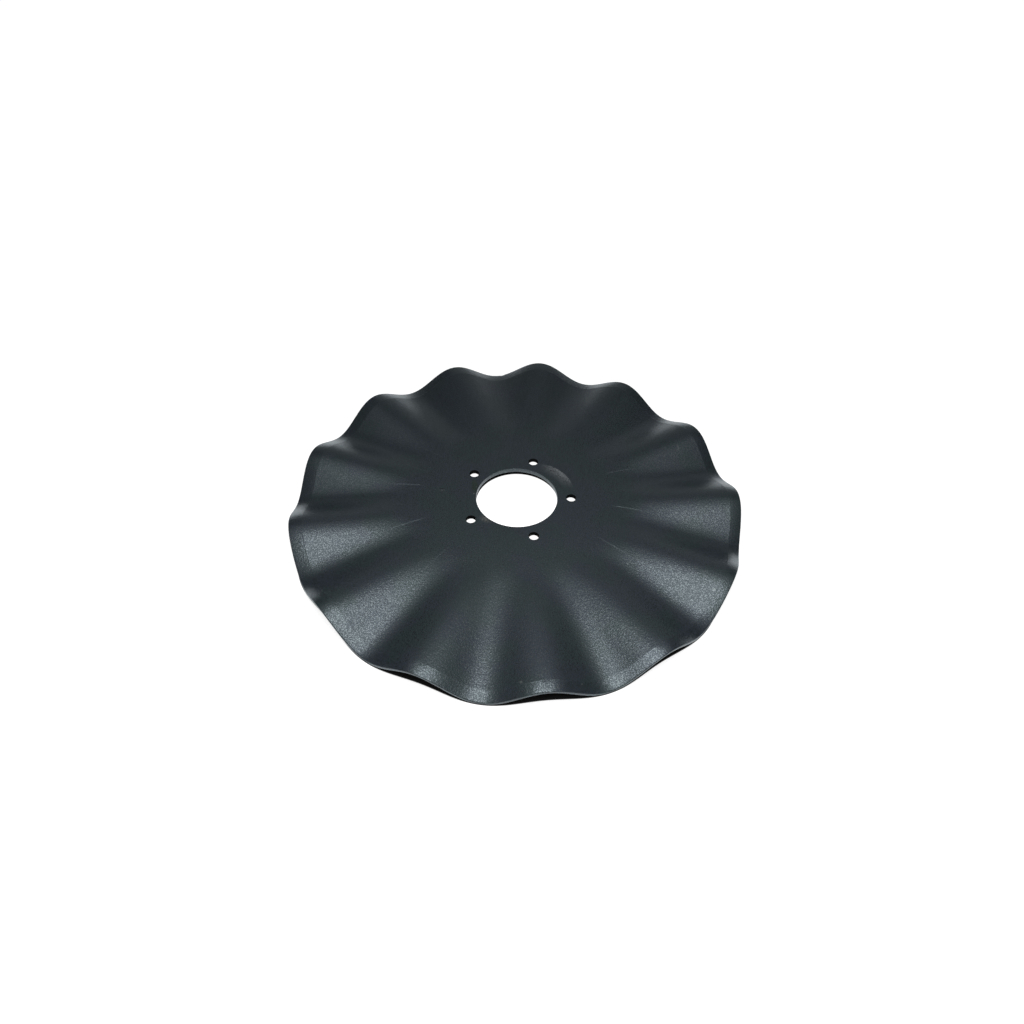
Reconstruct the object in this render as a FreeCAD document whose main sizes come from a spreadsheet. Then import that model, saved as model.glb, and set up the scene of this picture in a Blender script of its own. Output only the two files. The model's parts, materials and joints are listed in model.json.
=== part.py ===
# Wavy disc blade for a seed drill: one pressed steel plate with a flat hub and waves out to its rim.
#
# Frame, in millimetres: the origin is the centre of the bore, halfway through the plate, and +Z is
# the axis that the disc turns on. Angles start at +X, where a wave crest and a bolt hole both lie.
# The ground edge of the rim is on the +Z face.

import FreeCAD, Part
import math
import os

import Sketcher

doc = FreeCAD.newDocument("seed_drill_disc")


# Driving sizes, in millimetres, and the two counts

SIZES = [
    ("blade_diameter", 431.8, "over the rim"),
    ("plate_thickness", 4.5, "measured square to the plate"),
    ("bore_diameter", 79.4, "fits over the nose of the bearing hub"),
    ("bolt_inset", 13.5, "from the wall of the bore to the centres of the bolt holes"),
    ("bolt_hole_diameter", 9.5, "clears the hub's bolts"),
    ("bolt_count", 5, "holes, evenly spaced"),
    ("wave_count", 13, "crests round the rim"),
    ("wave_height", 19.4, "crest to trough at the rim, on the middle of the plate"),
    ("wave_start_radius", 86.0, "where the flat hub ends"),
    ("wave_run_in", 24.0, "radial length of the bend that leads into the waves"),
    ("bevel_width", 12.5, "radial width of the ground edge"),
    ("rim_thickness", 2.4, "left at the rim under the ground edge"),
]

sheet = doc.addObject("Spreadsheet::Sheet", "sizes")
for row, (alias, value, note) in enumerate(SIZES, start=1):
    sheet.set("A%d" % row, alias)
    sheet.set("B%d" % row, str(value))
    sheet.setAlias("B%d" % row, alias)
    sheet.set("C%d" % row, note)
doc.recompute()


# The wave: how high the middle of the plate stands, and the two faces beside it

rim_radius = sheet.blade_diameter / 2
run_in_end = sheet.wave_start_radius + sheet.wave_run_in
fan_radius = sheet.wave_start_radius + sheet.wave_run_in / 2
bevel_radius = rim_radius - sheet.bevel_width
wave_count = round(sheet.wave_count)


def middle_height(radius, angle):
    """Height of the middle of the plate: flat at the hub, and a cosine that grows to the rim.

    The plate is a fan of straight lines, each at its own angle, that all leave the hub's plane at
    the fan radius. The run-in rounds off the corner that they would make there.
    """
    growth = max(0.0, radius - fan_radius) / (rim_radius - fan_radius)
    return sheet.wave_height / 2 * growth * math.cos(wave_count * angle)


def lean_factor(radius, angle):
    """How much taller along the axis the leaning plate measures than square to its faces."""
    reach = 0.01
    swing = reach / radius
    rise = middle_height(radius + reach, angle) - middle_height(radius, angle)
    side_rise = middle_height(radius, angle + swing) - middle_height(radius, angle - swing)
    return math.sqrt(1 + (rise / reach) ** 2 + (side_rise / (2 * reach)) ** 2)


def underside_height(radius, angle):
    """Height of the lower face, which stays as it was pressed right out to the rim."""
    return middle_height(radius, angle) - sheet.plate_thickness / 2 * lean_factor(radius, angle)


def topside_height(radius, angle):
    """Height of the upper face, which is ground down from the bevel's inner edge to the rim."""
    ground = max(0.0, radius - bevel_radius) / sheet.bevel_width
    thickness = sheet.plate_thickness - ground * (sheet.plate_thickness - sheet.rim_thickness)
    return underside_height(radius, angle) + thickness * lean_factor(radius, angle)


# The pressed blank: rings round the axis, cut into short arcs, with faces between them

ARCS_PER_WAVE = 8
FLUTE_KNOT = 0.35


def ring(radius, height_at):
    """Smooth closed curve round the axis at one radius, as a list of short arcs."""
    arc_count = ARCS_PER_WAVE * wave_count
    angles = [2 * math.pi * step / arc_count for step in range(arc_count + 1)]
    points = []
    for angle in angles[:-1]:
        x = radius * math.cos(angle)
        y = radius * math.sin(angle)
        points.append(FreeCAD.Vector(x, y, height_at(radius, angle)))
    circuit = Part.BSplineCurve()
    circuit.interpolate(Points=points, PeriodicFlag=True, Parameters=angles)
    arcs = []
    for start, end in zip(angles, angles[1:]):
        arc = circuit.copy()
        arc.segment(start, end)
        arcs.append(arc)
    return arcs


def faces_across(*rings, knot=None):
    """A face for each arc, from the first ring to the last.

    Two rings are joined by straight lines. With three, the middle ring is where the tangents of
    the two ends meet, and the face is a smooth bend between them. A knot part of the way along
    leaves the shape as it is, and lets facets follow a long twisted face in two lengths.
    """
    degree = len(rings) - 1
    faces = []
    for arcs in zip(*rings):
        surface = Part.BSplineSurface()
        surface.buildFromPolesMultsKnots(
            [arc.getPoles() for arc in arcs],
            [degree + 1, degree + 1], arcs[0].getMultiplicities(),
            [0.0, 1.0], arcs[0].getKnots(),
            False, False, degree, arcs[0].Degree)
        if knot is not None:
            surface.increaseDegree(2, arcs[0].Degree)
            surface.insertUKnot(knot, 1, 0.0)
        faces.append(surface.toShape())
    return faces


def flat_face(arcs):
    """Flat face of the hub, inside a ring."""
    return Part.Face(Part.Wire([arc.toShape() for arc in arcs]))


def side_rings(height_at):
    """Rings of one side of the plate: the hub's edge, the fan's corner and the end of the run-in."""
    radii = (sheet.wave_start_radius, fan_radius, run_in_end)
    return [ring(radius, height_at) for radius in radii]


top_hub, top_corner, top_run_in = side_rings(topside_height)
low_hub, low_corner, low_run_in = side_rings(underside_height)
top_bevel = ring(bevel_radius, topside_height)
top_rim = ring(rim_radius, topside_height)
low_rim = ring(rim_radius, underside_height)

blank_faces = [flat_face(top_hub), flat_face(low_hub)]
blank_faces += faces_across(top_hub, top_corner, top_run_in)
blank_faces += faces_across(top_run_in, top_bevel, knot=FLUTE_KNOT)
blank_faces += faces_across(top_bevel, top_rim)
blank_faces += faces_across(top_rim, low_rim)
blank_faces += faces_across(low_rim, low_run_in, knot=1 - FLUTE_KNOT)
blank_faces += faces_across(low_run_in, low_corner, low_hub)

shell = Part.makeShell(blank_faces)
shell.sewShape()
blank = doc.addObject("Part::Feature", "pressed_blank")
blank.Shape = Part.makeSolid(shell)


# The disc: the blank with its bore and bolt holes cut through the flat hub

disc = doc.addObject("PartDesign::Body", "wavy_disc")
disc.Label = "wavy_disc"
disc.BaseFeature = blank
doc.recompute()


def origin_feature(role):
    """Plane or axis of the disc's own origin, found by its role."""
    return [item for item in disc.Origin.OriginFeatures if item.Role == role][0]


def round_hole(name, diameter, centre_distance):
    """Round hole through the plate, with its sketch on the middle plane and its sizes as given."""
    sketch = disc.newObject("Sketcher::SketchObject", name + "_sketch")
    sketch.AttachmentSupport = [(origin_feature("XY_Plane"), "")]
    sketch.MapMode = "FlatFace"
    sketch.addGeometry(Part.Circle(FreeCAD.Vector(1, 0, 0), FreeCAD.Vector(0, 0, 1), 1), False)
    size = sketch.addConstraint(Sketcher.Constraint("Diameter", 0, 2))
    sketch.setExpression("Constraints[%d]" % size, diameter)
    if centre_distance is None:
        sketch.addConstraint(Sketcher.Constraint("Coincident", 0, 3, -1, 1))
    else:
        sketch.addConstraint(Sketcher.Constraint("PointOnObject", 0, 3, -1))
        place = sketch.addConstraint(Sketcher.Constraint("DistanceX", -1, 1, 0, 3, 1))
        sketch.setExpression("Constraints[%d]" % place, centre_distance)
    pocket = disc.newObject("PartDesign::Pocket", name)
    pocket.Profile = sketch
    pocket.Type = "ThroughAll"
    pocket.Midplane = True
    return pocket


bore = round_hole("centre_bore", "sizes.bore_diameter", None)
bolt_hole = round_hole("bolt_hole", "sizes.bolt_hole_diameter",
                       "sizes.bore_diameter / 2 + sizes.bolt_inset")
bolt_holes = disc.newObject("PartDesign::PolarPattern", "bolt_holes")
bolt_holes.Originals = [bolt_hole]
bolt_holes.Axis = (origin_feature("Z_Axis"), [""])
bolt_holes.Angle = 360
bolt_holes.setExpression("Occurrences", "sizes.bolt_count")
disc.Tip = bolt_holes
doc.recompute()


# Checks, then the STEP file

def check_cut(before, after, diameter, count):
    """Stop if a cut took out less metal than its holes hold."""
    holes = math.pi * diameter ** 2 / 4 * sheet.plate_thickness * count
    if before.Shape.Volume - after.Shape.Volume < 0.99 * holes:
        raise RuntimeError("%s isn't cut right through" % after.Name)


for item in doc.Objects:
    for fault in ("Invalid", "Error"):
        if fault in item.State:
            raise RuntimeError("%s: %s" % (item.Name, fault))
if disc.Shape.isNull() or not disc.Shape.isValid() or len(disc.Shape.Solids) != 1:
    raise RuntimeError("wavy_disc isn't one sound solid")
check_cut(blank, bore, sheet.bore_diameter, 1)
check_cut(bore, bolt_holes, sheet.bolt_hole_diameter, sheet.bolt_count)

os.makedirs("parts", exist_ok=True)
disc.Shape.exportStep("parts/%s.step" % disc.Label)

box = disc.Shape.BoundBox
print("%s: %.0f mm3, %.2f x %.2f x %.2f mm" % (
    disc.Label, disc.Shape.Volume, box.XLength, box.YLength, box.ZLength))
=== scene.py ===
# %% [markdown]
# # A wavy disc blade for a seed drill
#
# The object is one round steel plate. Its hub is flat, with a bore in the middle and a ring of bolt
# holes, and the rest of it is pressed into waves that grow out to a thin ground rim. It is painted
# a dark slate colour all over and lies on a pale floor.
#
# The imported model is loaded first, because every length below is in metres in its frame: the origin
# is the centre of the bore, halfway through the plate, and +Z is the axis that the disc turns on.

import json
import math

import bmesh
import bpy
import numpy as np
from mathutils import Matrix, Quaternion, Vector


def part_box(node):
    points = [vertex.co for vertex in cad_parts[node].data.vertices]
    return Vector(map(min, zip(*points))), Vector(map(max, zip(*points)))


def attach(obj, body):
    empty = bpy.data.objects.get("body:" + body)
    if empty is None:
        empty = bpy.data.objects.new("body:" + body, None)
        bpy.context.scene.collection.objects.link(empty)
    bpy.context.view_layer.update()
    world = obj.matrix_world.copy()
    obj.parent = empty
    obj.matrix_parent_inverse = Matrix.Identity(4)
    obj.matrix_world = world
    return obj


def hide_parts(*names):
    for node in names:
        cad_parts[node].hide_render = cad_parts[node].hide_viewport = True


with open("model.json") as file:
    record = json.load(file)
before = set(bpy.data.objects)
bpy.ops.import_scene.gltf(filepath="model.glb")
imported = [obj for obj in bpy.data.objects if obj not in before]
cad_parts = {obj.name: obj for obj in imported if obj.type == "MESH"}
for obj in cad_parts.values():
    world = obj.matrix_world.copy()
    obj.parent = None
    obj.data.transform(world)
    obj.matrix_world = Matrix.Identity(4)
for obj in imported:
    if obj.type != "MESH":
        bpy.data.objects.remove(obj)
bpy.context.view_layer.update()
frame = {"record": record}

# %% [markdown]
# ## Sizes
#
# A second set of measurements would drift away from the first. So the sizes that the model states,
# such as the bore, the bolt circle and the rim, are read from it. The rest describe how the blade
# was pressed and ground, which no single number in the model states, so they are named here.

# %% Sizes from the model, and the sizes of the press tools
MM = 0.001

mounts = {mount["name"]: mount for mount in frame["record"]["mounts"]}
bore_radius = mounts["bore"]["dims"]["r_mm"] * MM
plate_thickness = mounts["bore"]["dims"]["length_mm"] * MM
bolt_circle_radius = mounts["bolts"]["dims"]["pcd_mm"] / 2 * MM
bolt_hole_radius = mounts["bolts"]["dims"]["hole_r_mm"] * MM
bolt_count = mounts["bolts"]["dims"]["count"]
lowest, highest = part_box("wavy_disc")
rim_radius = highest.x

WAVE_COUNT = 13
WAVE_HEIGHT = 19.4 * MM
HUB_RADIUS = 86 * MM
RUN_IN = 24 * MM
BEVEL_WIDTH = 11.6 * MM
RIM_THICKNESS = 2.4 * MM

run_in_end = HUB_RADIUS + RUN_IN
fan_radius = HUB_RADIUS + RUN_IN / 2
bevel_radius = rim_radius - BEVEL_WIDTH
pitch = 2 * math.pi / WAVE_COUNT
print("rim %.1f mm, bore %.1f mm, %d bolt holes" % (
    rim_radius / MM, bore_radius / MM, bolt_count))

# %% [markdown]
# ## The pressed wave
#
# A press bends the plate between two dies. The metal stays nearly straight along each line from the
# hub to the rim, and only the slope of that line changes as one walks round the disc: up at a crest,
# down at a trough. So the height is a cosine of the angle, and it grows in a straight line with the
# radius. A short bend, the run-in, leads from the flat hub into those lines.
#
# Subdividing a rough cage would guess at this form. A formula gives it exactly, and the same formula
# serves for the faces, so the two stay one plate's thickness apart.

# %% Height of the middle of the plate
def middle_height(radius, angle):
    """Height of the middle of the plate at a radius and an angle."""
    through_run_in = np.clip((radius - HUB_RADIUS) / RUN_IN, 0, 1)
    bend = through_run_in ** 2 * (run_in_end - fan_radius)
    rise = np.where(radius < run_in_end, bend, radius - fan_radius)
    return WAVE_HEIGHT / 2 * rise / (rim_radius - fan_radius) * np.cos(WAVE_COUNT * angle)


def lean_factor(radius, angle):
    """How much taller the leaning plate measures along the axis than square to its faces."""
    reach = 0.05 * MM
    swing = reach / radius
    outward = middle_height(radius + reach, angle) - middle_height(radius - reach, angle)
    sideways = middle_height(radius, angle + swing) - middle_height(radius, angle - swing)
    return np.sqrt(1 + (outward ** 2 + sideways ** 2) / (2 * reach) ** 2)


print("crest at the rim: %.2f mm" % (middle_height(rim_radius, 0) / MM))

# %% [markdown]
# ## The ground edge
#
# A grinding wheel takes the upper face down to a thinner rim. Where the wheel first bites it leaves
# a small lip, and paint rounds off the corner below it. On the blade that lip is a hairline just
# inside the edge. It is far too small to see as a shape, but it catches the light, so it belongs in
# the mesh and not in a picture.
#
# The band isn't quite flat: it starts shallow and steepens towards the rim, so its shine grows
# towards the rim too. The blade also sat a little off centre while it was ground. So the band is
# broad on one side of the disc and narrow on the other, as a circle with a centre of its own makes
# it. Where it is narrow, the crests could stand higher than the model's box, and there their tops
# are rounded off below it.

# %% Ground edge
BEVEL_CORNER = 0.5 * MM
CREST_CORNER = 0.1 * MM
BAND_CURVE = 1.25
LIP_DEPTH = 0.12 * MM
LIP_WIDTH = 0.22 * MM
OFF_CENTRE = 2.4 * MM
OFF_CENTRE_ANGLE = math.radians(-62)


def band_edge(angle):
    """Radius of the inner edge of the ground band."""
    return bevel_radius + OFF_CENTRE * np.cos(angle - OFF_CENTRE_ANGLE)


def ground_away(radius, angle):
    """How much the grinding takes off the upper face, measured square to the plate."""
    past = radius - band_edge(angle)
    ramp = (past + np.sqrt(past ** 2 + BEVEL_CORNER ** 2)) / 2 / (rim_radius - band_edge(angle))
    lip = LIP_DEPTH * (1 + np.tanh(past / LIP_WIDTH)) / 2
    cut = ramp ** BAND_CURVE * (plate_thickness - RIM_THICKNESS - LIP_DEPTH) + lip
    return np.where(radius > bevel_radius - BEVEL_WIDTH, cut, 0)


print("left at the rim: %.2f mm" % ((plate_thickness - ground_away(rim_radius, 0)) / MM))

# %% [markdown]
# ## The press marks
#
# The edge of the die leaves a fine crease on every flank, just where the wave leaves the hub. It
# starts beside the crest at the edge of the hub and runs outward, a little across the flank.
# Modelled as a small step in the surface, it catches the light on the flanks that face it and is
# lost on the others, as on the real blade. A painted line would look the same from every side.
# The dies met hardest along one line across the blade, so the creases are deepest at its two ends.

# %% Press marks
CREASE_START = 89 * MM
CREASE_END = 128 * MM
CREASE_START_ANGLE = math.radians(5.65)
CREASE_END_ANGLE = math.radians(7.4)
CREASE_STEP = 0.18 * MM
CREASE_WIDTH = 0.45 * MM
FLANK_WIDTH = 8 * CREASE_WIDTH
FADE_IN_SHARE = 0.25
FADE_OUT_POWER = 0.7
LEAST_CREASE = 0.15


def along_crease(radius):
    """Share of the crease's length that lies inside a radius."""
    return np.clip((radius - CREASE_START) / (CREASE_END - CREASE_START), 0, 1)


def crease_angle(radius):
    """Angle between a crest and the creases beside it."""
    return CREASE_START_ANGLE + along_crease(radius) * (CREASE_END_ANGLE - CREASE_START_ANGLE)


def crease_step(radius, angle):
    """Small step across each flank near the hub, higher on the side of the crest."""
    along = along_crease(radius)
    fade = np.minimum(along / FADE_IN_SHARE, 1) * (1 - along) ** FADE_OUT_POWER
    fade *= LEAST_CREASE + (1 - LEAST_CREASE) * np.cos(angle) ** 2
    from_crest = (angle + pitch / 2) % pitch - pitch / 2
    across = (crease_angle(radius) - np.abs(from_crest)) * radius
    flank = np.exp(-(across / FLANK_WIDTH) ** 2)
    return CREASE_STEP * fade * flank * np.tanh(across / CREASE_WIDTH)


print("creases: %d of %.0f mm" % (2 * WAVE_COUNT, (CREASE_END - CREASE_START) / MM))

# %% Heights of the two faces
def underside(radius, angle):
    """Height of the lower face."""
    return middle_height(radius, angle) - plate_thickness / 2 * lean_factor(radius, angle)


def topside(radius, angle):
    """Height of the upper face, with the ground edge, the press marks and rounded crest tops."""
    thickness = plate_thickness - ground_away(radius, angle)
    top = underside(radius, angle) + thickness * lean_factor(radius, angle)
    over = top - (highest.z - CREST_CORNER / 2)
    top -= (over + np.sqrt(over ** 2 + CREST_CORNER ** 2)) / 2
    return top + crease_step(radius, angle)


crest_top = topside(bevel_radius, 0)
print("a crest stands %.2f mm over the hub" % ((crest_top - topside(HUB_RADIUS, 0)) / MM))

# %% [markdown]
# ## Rings of points
#
# The plate's skin is a set of rings round the axis. They start on the upper face outside the bolt
# holes, run out over the ground edge, round the rim and back along the underside. Rings lie close
# together where the form turns quickly, such as in the run-in, at the lip of the ground edge and at
# the corners of the rim, and far apart where it is straight.
#
# The points of a ring aren't spread evenly either. A crease is about one millimetre wide, and even
# columns fine enough for it would need ten times the points. So the columns bend with the crease and
# crowd together across it.

# %% Points along a ring
CREST_COLUMNS = 11
CREASE_COLUMNS = 11
TROUGH_COLUMNS = 13
CREASE_BAND = 1.5 * MM


def steps(start, end, count):
    """Evenly spaced values from start towards end, without the end itself."""
    return list(np.linspace(start, end, count, endpoint=False))


def column_angles(radius):
    """Angles of the points of a ring, crowded together where the creases cross it."""
    crease = crease_angle(radius)
    band = CREASE_BAND / radius
    half = steps(0, crease - band, CREST_COLUMNS)
    half += steps(crease - band, crease + band, CREASE_COLUMNS)
    half += steps(crease + band, pitch / 2, TROUGH_COLUMNS)
    mirrored = [pitch - angle for angle in half[:0:-1]]
    wave = np.array(half + [pitch / 2] + mirrored)
    return np.concatenate([wave + number * pitch for number in range(WAVE_COUNT)])


columns = len(column_angles(HUB_RADIUS))
print("%d points in each ring" % columns)

# %% [markdown]
# ## The rim
#
# The rim is the thin wall that the grinding leaves, with both corners rounded by wear and paint. The
# rounded corner is what shows as a fine light line along the front of the blade. At the back the rim
# has one small dent, from a knock.

# %% Rings over the rim
TOP_CORNER = 0.6 * MM
LOW_CORNER = 0.4 * MM
DENT_ANGLE = math.radians(95.2)
DENT_DEPTH = 0.9 * MM
DENT_WIDTH = 2.2 * MM
RIM_CORNER_RINGS = 6


def dented(radius, angle):
    """Radius of the rim, pushed in at the dent."""
    away = (angle - DENT_ANGLE) * rim_radius / DENT_WIDTH
    return radius - DENT_DEPTH * np.exp(-away ** 2)


def rim_corner(height_at, corner, side):
    """Rings over one rounded corner of the rim, from the face out to the wall."""
    angles = column_angles(rim_radius)
    rings = []
    for turn in np.linspace(0, math.pi / 2, RIM_CORNER_RINGS):
        reach = rim_radius - corner * (1 - math.sin(turn))
        heights = height_at(reach, angles) - side * corner * (1 - math.cos(turn))
        rings.append((dented(reach, angles), angles, heights))
    return rings


rim_rings = rim_corner(topside, TOP_CORNER, 1) + rim_corner(underside, LOW_CORNER, -1)[::-1]
print("%d rings round the rim" % len(rim_rings))

# %% All the rings of the skin
FILL_RADIUS = 64 * MM
LIP_REACH = 0.8 * MM

# Each band: where it starts, where it ends, and its number of rings.
TOP_BANDS = [
    (FILL_RADIUS, HUB_RADIUS, 3),
    (HUB_RADIUS, run_in_end, 14),
    (run_in_end, CREASE_END, 8),
    (CREASE_END, bevel_radius - LIP_REACH, 13),
    (bevel_radius - LIP_REACH, bevel_radius + LIP_REACH, 11),
    (bevel_radius + LIP_REACH, rim_radius - 2 * TOP_CORNER, 7),
]
LOW_BANDS = [
    (rim_radius - 2 * LOW_CORNER, run_in_end, 13),
    (run_in_end, HUB_RADIUS, 8),
    (HUB_RADIUS, FILL_RADIUS, 1),
]

top_radii = [radius for band in TOP_BANDS for radius in steps(*band)]
low_radii = [radius for band in LOW_BANDS for radius in steps(*band)] + [FILL_RADIUS]


def skin_ring(radius, height_at):
    """Ring of one face of the plate, moved along with the inner edge of the ground band."""
    angles = column_angles(radius)
    stations = (CREASE_END, bevel_radius - LIP_REACH, bevel_radius + LIP_REACH, rim_radius)
    share = np.interp(radius, stations, (0, 1, 1, 0))
    reach = radius + share * (band_edge(angles) - bevel_radius)
    return reach, angles, height_at(reach, angles)


rings = [skin_ring(radius, topside) for radius in top_radii] + rim_rings
rings += [skin_ring(radius, underside) for radius in low_radii]
print("%d rings" % len(rings))

# %% [markdown]
# ## One mesh for the plate
#
# Neighbouring rings are joined by quads. Inside the first and the last ring the plate is flat, and
# only the bore and the bolt holes break it, so those two areas are filled in one go between the
# loops. Each hole has a wall with small rounded corners, as paint gives them, and a guard loop just
# outside the corner keeps the flat shading flat.

# %% Helpers that add loops of points and the faces between them
HOLE_CORNER_RINGS = 4


def add_loop(mesh, points):
    """New points joined into a closed loop of edges."""
    corners = [mesh.verts.new(point) for point in points]
    for one, other in zip(corners, corners[1:] + corners[:1]):
        mesh.edges.new((one, other))
    return corners


def loop_edges(mesh, loop):
    """Edges between the neighbours of a loop."""
    return [mesh.edges.get((one, other)) for one, other in zip(loop, loop[1:] + loop[:1])]


def bridge(mesh, inner, outer, material=0):
    """Quads between two loops with as many points each."""
    for index in range(len(inner)):
        after = (index + 1) % len(inner)
        face = mesh.faces.new((inner[index], outer[index], outer[after], inner[after]))
        face.material_index = material


def hole_wall(mesh, x, y, radius, corner, segments, material=0):
    """Wall of a round hole through the hub, from a guard loop on the top to one underneath."""
    half = plate_thickness / 2
    top = [(radius + 2 * corner, half)]
    for turn in np.linspace(0, math.pi / 2, HOLE_CORNER_RINGS):
        top.append((radius + corner * (1 - math.sin(turn)), half - corner * (1 - math.cos(turn))))
    profile = top + [(reach, -height) for reach, height in reversed(top)]
    around = [2 * math.pi * step / segments for step in range(segments)]
    loops = []
    for reach, height in profile:
        points = [(x + reach * math.cos(a), y + reach * math.sin(a), height) for a in around]
        loops.append(add_loop(mesh, points))
    for outer, inner in zip(loops, loops[1:]):
        inside = outer is not loops[0] and inner is not loops[-1]
        bridge(mesh, inner, outer, material if inside else 0)
    return loops[0], loops[-1]


# %% Skin of the plate
mesh = bmesh.new()
loops = []
for radius, angles, heights in rings:
    points = zip(radius * np.cos(angles), radius * np.sin(angles), heights)
    loops.append(add_loop(mesh, points))
for inner, outer in zip(loops, loops[1:]):
    bridge(mesh, inner, outer)
print("%d faces of the skin" % len(mesh.faces))

# %% Bore, bolt holes and the flat areas
BORE_CORNER = 0.3 * MM
BORE_SEGMENTS = 260
BOLT_HOLE_CORNER = 0.2 * MM
BOLT_HOLE_SEGMENTS = 64
# Slot of the bolt hole walls, which carry a painted shade.
SHADED_HOLE_WALLS = 1

openings = [hole_wall(mesh, 0, 0, bore_radius, BORE_CORNER, BORE_SEGMENTS)]
turns = [2 * math.pi * number / bolt_count for number in range(bolt_count)]
bolt_places = [(bolt_circle_radius * math.cos(a), bolt_circle_radius * math.sin(a)) for a in turns]
# The walls of the bolt holes take the painted shade.
for x, y in bolt_places:
    wall = hole_wall(mesh, x, y, bolt_hole_radius, BOLT_HOLE_CORNER, BOLT_HOLE_SEGMENTS, SHADED_HOLE_WALLS)
    openings.append(wall)

for border, side in ((loops[0], 0), (loops[-1], 1)):
    edges = loop_edges(mesh, border)
    for opening in openings:
        edges += loop_edges(mesh, opening[side])
    filled = bmesh.ops.triangle_fill(mesh, edges=edges, use_beauty=True)
    flat = [item for item in filled["geom"] if isinstance(item, bmesh.types.BMFace)]
    print("flat area: %.1f cm2" % (sum(face.calc_area() for face in flat) * 1e4))

# %% The disc as a piece
bmesh.ops.recalc_face_normals(mesh, faces=mesh.faces)
for face in mesh.faces:
    face.smooth = True
disc_mesh = bpy.data.meshes.new("disc_blade")
mesh.to_mesh(disc_mesh)
volume = mesh.calc_volume()
mesh.free()
disc = bpy.data.objects.new("disc_blade", disc_mesh)
bpy.context.scene.collection.objects.link(disc)
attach(disc, "root")
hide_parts("wavy_disc")
disc_mesh.calc_loop_triangles()
print("%d triangles, %.0f mm3" % (len(disc_mesh.loop_triangles), volume / MM ** 3))

# %% [markdown]
# ## The paint
#
# The blade is painted in one coat, dark slate and satin. Looked at closely the coat has a fine
# grain, like the skin of an orange but smaller. On the flanks that face the light each grain tilts
# the surface a little, so the highlight breaks up into sparkle, and in the hollows the grain is
# hardly seen. A picture of the grain would be flat. Bump from a noise texture tilts the surface as
# the grain does, so it glitters only where there is light to catch.
#
# Bump alone can't give all of the sparkle, because the light of many grains averages out in one
# pixel. The paint also holds fine metallic flecks, a little larger than the grain. They are a second
# noise, cut off so that only its peaks count, and there the coat turns to metal.
#
# The colour isn't one flat value either: the coat lies a little thicker in places, and drifts
# between a green and a blue slate over the width of a hand. The ground band was smooth before it was
# painted, so the coat is glossier there.

# %% Node helpers
def add_node(tree, kind, **values):
    """New shader node. Values are its inputs by name, or properties of the node itself."""
    node = tree.nodes.new(kind)
    for name, value in values.items():
        if hasattr(node, name):
            setattr(node, name, value)
        else:
            node.inputs[name.replace("_", " ")].default_value = value
    return node


def feed(tree, socket, value):
    """Link a socket to an input, or set the input to a plain value."""
    if isinstance(value, bpy.types.NodeSocket):
        tree.links.new(value, socket)
    else:
        socket.default_value = value


def combine(tree, operation, one, other):
    """Arithmetic on two values, each a socket or a number."""
    node = tree.nodes.new("ShaderNodeMath")
    node.operation = operation
    feed(tree, node.inputs[0], one)
    feed(tree, node.inputs[1], other)
    return node.outputs[0]


def ease(tree, value, start, end, before=0.0, after=1.0):
    """Smooth change from one number to another, while a value goes from start to end."""
    node = add_node(tree, "ShaderNodeMapRange", interpolation_type="SMOOTHSTEP")
    feed(tree, node.inputs["Value"], value)
    limits = {"From Min": start, "From Max": end, "To Min": before, "To Max": after}
    for name, number in limits.items():
        node.inputs[name].default_value = number
    return node.outputs[0]


def blend(tree, share, one, other):
    """Colour between two others, each a socket or a colour."""
    node = add_node(tree, "ShaderNodeMix", data_type="RGBA")
    feed(tree, node.inputs["Factor"], share)
    feed(tree, node.inputs[6], one)
    feed(tree, node.inputs[7], other)
    return node.outputs[2]


def noise(tree, place, scale, detail=2.0, roughness=0.5):
    """Noise pattern, as the texture node."""
    node = add_node(tree, "ShaderNodeTexNoise", Scale=scale, Detail=detail, Roughness=roughness)
    tree.links.new(place, node.inputs["Vector"])
    return node


# %% Slate paint
GREEN_SLATE = (0.020, 0.030, 0.032, 1)
BLUE_SLATE = (0.021, 0.028, 0.037, 1)
SHINE_TINT = (0.80, 0.93, 1.0, 1)
FLECK = (0.096, 0.112, 0.120, 1)
COAT_IOR = 1.5
SATIN = 0.34
GROUND_SATIN = 0.29
DRIFT_SCALE = 22.0
DRIFT_EDGES = (0.42, 0.58)
GRAIN_SCALE = 620.0
GRAIN_HEIGHT = 0.20 * MM
FLECK_SCALE = 1200.0
FLECK_EDGES = (0.50, 0.60)

paint = bpy.data.materials.new("slate_paint")
paint.use_nodes = True
tree = paint.node_tree
shader = tree.nodes["Principled BSDF"]
place = tree.nodes.new("ShaderNodeTexCoord").outputs["Object"]

shader.inputs["IOR"].default_value = COAT_IOR
shader.inputs["Specular Tint"].default_value = SHINE_TINT

to_band = add_node(tree, "ShaderNodeVectorMath", operation="DISTANCE")
tree.links.new(place, to_band.inputs[0])
to_band.inputs[1].default_value = (
    OFF_CENTRE * math.cos(OFF_CENTRE_ANGLE), OFF_CENTRE * math.sin(OFF_CENTRE_ANGLE), 0)
satin = ease(
    tree, to_band.outputs["Value"], bevel_radius, bevel_radius + LIP_REACH, SATIN, GROUND_SATIN)
tree.links.new(satin, shader.inputs["Roughness"])

drift = noise(tree, place, DRIFT_SCALE)
slate = blend(tree, ease(tree, drift.outputs[0], *DRIFT_EDGES), GREEN_SLATE, BLUE_SLATE)

grain = noise(tree, place, GRAIN_SCALE, roughness=0.6)
bump = add_node(tree, "ShaderNodeBump", Strength=1.0, Distance=GRAIN_HEIGHT)
tree.links.new(grain.outputs[0], bump.inputs["Height"])
tree.links.new(bump.outputs["Normal"], shader.inputs["Normal"])

flecks = ease(tree, noise(tree, place, FLECK_SCALE, detail=1.0).outputs[0], *FLECK_EDGES)
tree.links.new(flecks, shader.inputs["Metallic"])
print("paint:", paint.name)

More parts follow.
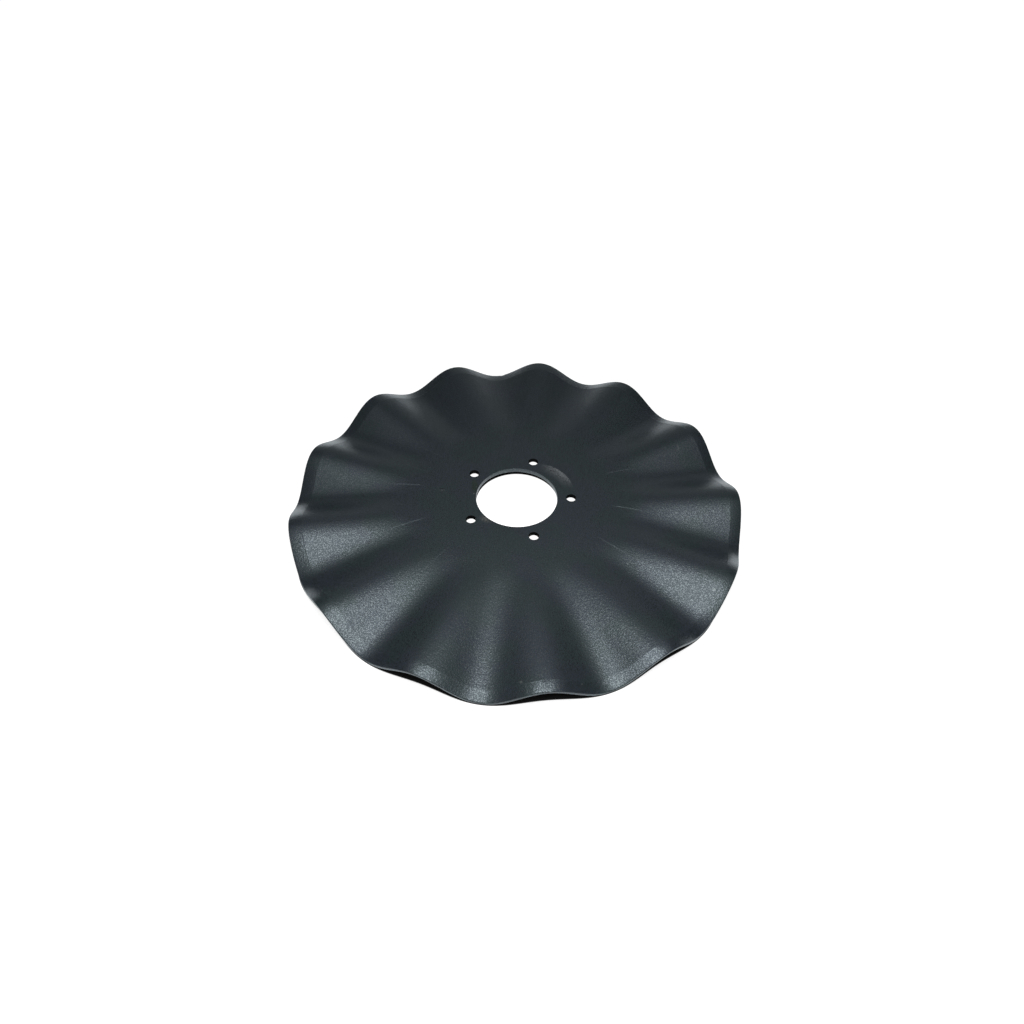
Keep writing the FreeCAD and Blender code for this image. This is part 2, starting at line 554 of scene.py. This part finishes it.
# %% [markdown]
# ## Marks of handling
#
# A blade that has been stacked and carried has marks: a crescent beside the bore where a washer
# rubbed the paint, a stain, a smudge and a scatter of chips. Each mark is an oval on the upper face
# with a ragged edge, and one helper makes them all. A mapping node turns the place of a point into a
# distance from the middle of the oval, counted in radii, so one number says how far the mark reaches.
#
# They could also be painted on the mesh, point by point, but the points lie too far apart for a chip
# of two millimetres.

# %% Ovals on the upper face
RAGGED_SCALE = 900.0
RAGGED_REACH = 1.2 * MM

ragged = noise(tree, place, RAGGED_SCALE).outputs["Color"]
centred = add_node(tree, "ShaderNodeVectorMath", operation="SUBTRACT")
tree.links.new(ragged, centred.inputs[0])
centred.inputs[1].default_value = (0.5, 0.5, 0.5)
scaled = add_node(tree, "ShaderNodeVectorMath", operation="SCALE")
tree.links.new(centred.outputs[0], scaled.inputs[0])
scaled.inputs["Scale"].default_value = RAGGED_REACH
ragged_place = add_node(tree, "ShaderNodeVectorMath", operation="ADD")
tree.links.new(place, ragged_place.inputs[0])
tree.links.new(scaled.outputs[0], ragged_place.inputs[1])


def oval(x, y, length, width, turn, soft):
    """1 inside an oval on the upper face, falling to 0 at its edge over a share of its radius."""
    height = float(topside(math.hypot(x, y), math.atan2(y, x)))
    node = add_node(tree, "ShaderNodeMapping", vector_type="TEXTURE")
    tree.links.new(ragged_place.outputs[0], node.inputs["Vector"])
    node.inputs["Location"].default_value = (x, y, height)
    node.inputs["Rotation"].default_value = (0, 0, turn)
    node.inputs["Scale"].default_value = (length / 2, width / 2, plate_thickness / 2)
    distance = add_node(tree, "ShaderNodeVectorMath", operation="LENGTH")
    tree.links.new(node.outputs[0], distance.inputs[0])
    return ease(tree, distance.outputs["Value"], 1, 1 - soft)


print("edges ragged by %.1f mm" % (RAGGED_REACH / 2 / MM))

# %% Rub mark beside the bore
RUB_COLOUR = (0.150, 0.160, 0.166, 1)
RUB_CENTRE = (16.1 * MM, 8.5 * MM)
RUB_RADIUS = 40.7 * MM
RUB_DEPTH = 15 * MM
RUB_MIDDLE = (45.0 * MM, 36.5 * MM)
RUB_LENGTH = 54 * MM
RUB_EDGE = 0.02
RUB_FADE = 0.9

outer = oval(*RUB_CENTRE, 2 * RUB_RADIUS, 2 * RUB_RADIUS, 0, RUB_EDGE)
inner = oval(*RUB_CENTRE, 2 * RUB_RADIUS, 2 * RUB_RADIUS, 0, RUB_DEPTH / RUB_RADIUS)
reach = oval(*RUB_MIDDLE, RUB_LENGTH, RUB_LENGTH, 0, RUB_FADE)
rub = combine(tree, "MULTIPLY", combine(tree, "SUBTRACT", outer, inner), reach)
slate = blend(tree, rub, slate, RUB_COLOUR)
print("rub mark: %.0f mm deep" % (RUB_DEPTH / MM))

# %% Stain, smudge and chips
OLIVE = (0.016, 0.026, 0.019, 1)
DUST = (0.090, 0.094, 0.088, 1)
CHIP = (0.085, 0.095, 0.095, 1)
PALE_CHIP = (0.20, 0.22, 0.22, 1)
SOOT = (0.004, 0.005, 0.006, 1)

# Each mark: name, x, y, length and width in mm, turn in degrees, soft share of its edge, colour.
MARKS = [
    ("stain", -41.8, 13.5, 27, 9, 95, 0.6, OLIVE),
    ("smudge", -29.5, -30.8, 17, 10, -35, 0.9, DUST),
    ("chip in the stain", -39.3, 13.0, 1.8, 1.8, 0, 0.5, CHIP),
    ("chip below the stain", -41.9, 2.8, 2.2, 2.2, 0, 0.5, CHIP),
    ("pit in the stain", -43.5, 11.2, 1.4, 1.4, 0, 0.5, SOOT),
    ("chip by the bore", 24.9, -42.7, 2.0, 2.0, 0, 0.5, CHIP),
    ("pit in the rub mark", 34.0, 38.0, 2.2, 2.2, 0, 0.6, SOOT),
    ("scratch on the hub", -73.4, 6.8, 8, 1.3, 0, 0.5, CHIP),
    ("pit over the scratch", -73.4, 8.9, 8, 1.3, 0, 0.5, SOOT),
    ("chip at the front", 5.5, -204.0, 3.4, 3.0, 0, 0.4, CHIP),
    ("small chip at the front", 53.2, -201.5, 1.4, 1.4, 0, 0.4, CHIP),
    ("bright chip on the right", 171.7, -111.1, 4.2, 3.2, 20, 0.5, PALE_CHIP),
    ("pit at the back", 105.3, 62.1, 1.8, 2.6, 0, 0.4, SOOT),
    ("pit on the right", 112.1, 45.3, 1.6, 3.2, 0, 0.4, SOOT),
    ("scrape on the right", 167.8, 72.8, 15, 1.6, 94, 0.5, CHIP),
]

for name, x, y, length, width, turn, soft, colour in MARKS:
    mark = oval(x * MM, y * MM, length * MM, width * MM, math.radians(turn), soft)
    slate = blend(tree, mark, slate, colour)
slate = blend(tree, flecks, slate, FLECK)
tree.links.new(slate, shader.inputs["Base Color"])
disc_mesh.materials.append(paint)
print("%d marks" % len(MARKS))

# %% [markdown]
# ## Painted shade in the bolt holes
#
# The bolt holes were punched through, and their walls are rough. The holes are narrow and the light
# hardly reaches their walls, so the walls get a finish of their own: a nearly black colour that is
# painted shade, with almost no shine.

# %% Painted shade on the bolt hole walls
WALL_SHINE = 0.1
STREAK_SCALE = 800.0
DARK_WALL_SHADE = (0.003, 0.003, 0.003, 1)
GREY_WALL_SHADE = (0.009, 0.009, 0.010, 1)
DULL_EDGES = (0.3, 0.7)
DULL_RANGE = (0.7, 0.95)

hole_shade = bpy.data.materials.new("painted_hole_shade")
hole_shade.use_nodes = True
tree = hole_shade.node_tree
shader = tree.nodes["Principled BSDF"]
place = tree.nodes.new("ShaderNodeTexCoord").outputs["Object"]
shader.inputs["Specular IOR Level"].default_value = WALL_SHINE
streaks = noise(tree, place, STREAK_SCALE)
# Nearly black colour of the bolt hole walls: painted shade, varied a little by the noise.
wall_shade = blend(tree, streaks.outputs[0], DARK_WALL_SHADE, GREY_WALL_SHADE)
tree.links.new(wall_shade, shader.inputs["Base Color"])
dullness = ease(tree, streaks.outputs[0], *DULL_EDGES, *DULL_RANGE)
tree.links.new(dullness, shader.inputs["Roughness"])
disc_mesh.materials.append(hole_shade)
print("walls:", hole_shade.name)

# %% [markdown]
# ## Floor
#
# The disc lies on a pale floor on the feet of its waves. A lamp close over the disc leaves the floor
# dim further out, so the floor also glows for the camera and in reflections, and the ground goes to
# an even white.
#
# Under the waves and along the far side of the bore only a deep shadow is seen. A pale floor would
# send too much light back there, so its own colour is taken down to near black under the plate: a
# painted shadow. The patches that the light reaches through the bore and the bolt holes are painted
# pools of light instead, where the floor keeps its pale colour and glows at full strength. The lamp
# stands towards the camera, so those patches lie a little behind their holes. Between two feet the
# edge of the painted shadow runs a little further in than the rim.

# %% Floor
FLOOR_SIZE = 60.0
FLOOR_COLOUR = (0.5, 0.5, 0.5, 1)
SHADOW_COLOUR = (0.02, 0.02, 0.02, 1)

floor_mesh = bpy.data.meshes.new("floor")
half = FLOOR_SIZE / 2
corners = [(x, y, lowest.z) for x, y in ((-half, -half), (half, -half), (half, half), (-half, half))]
floor_mesh.from_pydata(corners, [], [(0, 1, 2, 3)])
floor = bpy.data.objects.new("floor", floor_mesh)
bpy.context.scene.collection.objects.link(floor)

pale = bpy.data.materials.new("pale_floor")
pale.use_nodes = True
tree = pale.node_tree
tree.nodes.clear()
place = tree.nodes.new("ShaderNodeTexCoord").outputs["Object"]


def distance_from(x, y):
    """How far a point of the floor lies from a place on it."""
    away = add_node(tree, "ShaderNodeVectorMath", operation="DISTANCE")
    tree.links.new(place, away.inputs[0])
    away.inputs[1].default_value = (x, y, lowest.z)
    return away.outputs["Value"]


print("floor at z %.2f mm" % (lowest.z / MM))

# %% Where the floor is white
SHADOW_RIM = 213.4 * MM
SHADOW_WAVE = 2.6 * MM
SHADOW_EDGE = 0.8 * MM
LIT_CENTRE = (0.8 * MM, 5.5 * MM)
LIT_RADIUS = 40.9 * MM
SPOT_SHIFT = 11.2 * MM
SPOT_RADIUS = 6.2 * MM

# White outside the rim and in the painted pools of light under the hub, painted shadow elsewhere.
radius = distance_from(0, 0)
parts = tree.nodes.new("ShaderNodeSeparateXYZ")
tree.links.new(place, parts.inputs[0])
angle = combine(tree, "ARCTAN2", parts.outputs["Y"], parts.outputs["X"])
crests = combine(tree, "COSINE", combine(tree, "MULTIPLY", angle, WAVE_COUNT), 0)
crests = combine(tree, "MULTIPLY", crests, SHADOW_WAVE)
outside = ease(tree, combine(tree, "ADD", radius, crests), SHADOW_RIM, SHADOW_RIM + SHADOW_EDGE)
painted_light_under_hub = ease(tree, distance_from(*LIT_CENTRE), LIT_RADIUS + SHADOW_EDGE, LIT_RADIUS)
for x, y in bolt_places:
    painted_light_spot = ease(tree, distance_from(x, y + SPOT_SHIFT), SPOT_RADIUS + SHADOW_EDGE, SPOT_RADIUS)
    painted_light_under_hub = combine(tree, "MAXIMUM", painted_light_under_hub, painted_light_spot)
white = combine(tree, "MAXIMUM", outside, painted_light_under_hub)
print("%d light patches under the hub" % (1 + bolt_count))

# %% Colour and glow of the floor
NEAR_GLOW = 0.78
FAR_GLOW = 1.0
GLOW_START = 1.1 * rim_radius
GLOW_END = 2.5 * rim_radius

# Where the floor is not white, its colour is the painted shadow.
matte = tree.nodes.new("ShaderNodeBsdfDiffuse")
tree.links.new(blend(tree, white, SHADOW_COLOUR, FLOOR_COLOUR), matte.inputs["Color"])

rays = tree.nodes.new("ShaderNodeLightPath").outputs
seen = combine(tree, "MAXIMUM", rays["Is Camera Ray"], rays["Is Glossy Ray"])
seen = combine(tree, "MAXIMUM", seen, rays["Is Transmission Ray"])
level = ease(tree, radius, GLOW_START, GLOW_END, NEAR_GLOW, FAR_GLOW)
# The painted pools of light under the hub glow at full strength.
level = combine(tree, "MAXIMUM", level, painted_light_under_hub)
glow = tree.nodes.new("ShaderNodeEmission")
strength = combine(tree, "MULTIPLY", seen, combine(tree, "MULTIPLY", white, level))
tree.links.new(strength, glow.inputs["Strength"])

both = tree.nodes.new("ShaderNodeAddShader")
tree.links.new(matte.outputs[0], both.inputs[0])
tree.links.new(glow.outputs[0], both.inputs[1])
output = tree.nodes.new("ShaderNodeOutputMaterial")
tree.links.new(both.outputs[0], output.inputs["Surface"])
floor_mesh.materials.append(pale)
print("glow %.2f beside the disc, %.2f further out" % (NEAR_GLOW, FAR_GLOW))

# %% [markdown]
# ## Light
#
# The light on a blade photographed like this comes from one lamp box close overhead, a little
# towards the camera. Because it is near, each flank sees it at another angle, and the highlights run
# from bright at the front to dim at the back. A far lamp of the same brightness lights all the waves
# alike, and the disc looks flat.
#
# A second, wider and much weaker box stands for the soft edge of the first. The boxes are hidden from
# the camera, which would otherwise see them from low down.
#
# A dim sky fills the hollows. The flanks at the back face away from the lamp, and what they show is
# a pale wall low behind the disc, so the sky is brighter towards that wall.

# %% Lamp boxes
LAMP_HEIGHT = 0.6
LAMP_Y = -0.28
KEY_SIZE = 0.56
KEY_RADIANCE = 4.3
EDGE_SIZE = 1.12
EDGE_RADIANCE = 0.58


def lamp_box(name, size, radiance):
    """Square lamp that looks straight down, of a given brightness per area."""
    lamp = bpy.data.lights.new(name, "AREA")
    lamp.shape = "SQUARE"
    lamp.size = size
    lamp.energy = radiance * math.pi * size ** 2
    holder = bpy.data.objects.new(name, lamp)
    holder.location = (0, LAMP_Y, LAMP_HEIGHT)
    holder.visible_camera = False
    bpy.context.scene.collection.objects.link(holder)
    return holder


lamp_box("key_box", KEY_SIZE, KEY_RADIANCE)
lamp_box("soft_edge", EDGE_SIZE, EDGE_RADIANCE)
print("lamps at %.1f m" % LAMP_HEIGHT)

# %% Sky
SKY = 0.05
WALL = 0.27
WALL_DIRECTION = Vector((0.10, 0.96, 0.26)).normalized()
WALL_REACH = 0.78

world = bpy.data.worlds.new("sky")
bpy.context.scene.world = world
world.use_nodes = True
tree = world.node_tree
background = tree.nodes["Background"]
background.inputs["Color"].default_value = (1, 1, 1, 1)
direction = tree.nodes.new("ShaderNodeTexCoord").outputs["Generated"]
towards_wall = add_node(tree, "ShaderNodeVectorMath", operation="DOT_PRODUCT")
tree.links.new(direction, towards_wall.inputs[0])
towards_wall.inputs[1].default_value = WALL_DIRECTION
strength = ease(tree, towards_wall.outputs["Value"], WALL_REACH, 1, SKY, WALL)
tree.links.new(strength, background.inputs["Strength"])
print("sky %.2f, wall %.2f" % (SKY, WALL))

# %% [markdown]
# ## Camera
#
# The camera's place was worked out from the photograph: the rim's outline, the bore and the bolt
# holes fit only one distance, height and lens. It looks down at about 46 degrees from close by, and
# it leans a little to one side.

# %% Camera
CAMERA_DISTANCE = 680.1 * MM
CAMERA_AZIMUTH = math.radians(-0.55)
CAMERA_ELEVATION = math.radians(45.65)
AIM = Vector((-4.31 * MM, -18.66 * MM, 0))
CAMERA_ROLL = math.radians(1.28)
LENS = 24.40
SENSOR_WIDTH = 36
NEAR_CLIP = 10 * MM

camera_data = bpy.data.cameras.new("camera")
camera_data.sensor_width = SENSOR_WIDTH
camera_data.lens = LENS
camera_data.clip_start = NEAR_CLIP
camera = bpy.data.objects.new("camera", camera_data)
away = CAMERA_DISTANCE * math.cos(CAMERA_ELEVATION)
camera.location = (
    away * math.sin(CAMERA_AZIMUTH), -away * math.cos(CAMERA_AZIMUTH),
    CAMERA_DISTANCE * math.sin(CAMERA_ELEVATION))
looking = (AIM - camera.location).to_track_quat("-Z", "Y")
camera.rotation_mode = "QUATERNION"
camera.rotation_quaternion = looking @ Quaternion((0, 0, 1), CAMERA_ROLL)
bpy.context.scene.collection.objects.link(camera)
bpy.context.scene.camera = camera
bpy.context.scene.view_settings.view_transform = "Standard"
print("camera %.0f mm from the disc, lens %.1f mm" % (CAMERA_DISTANCE / MM, LENS))
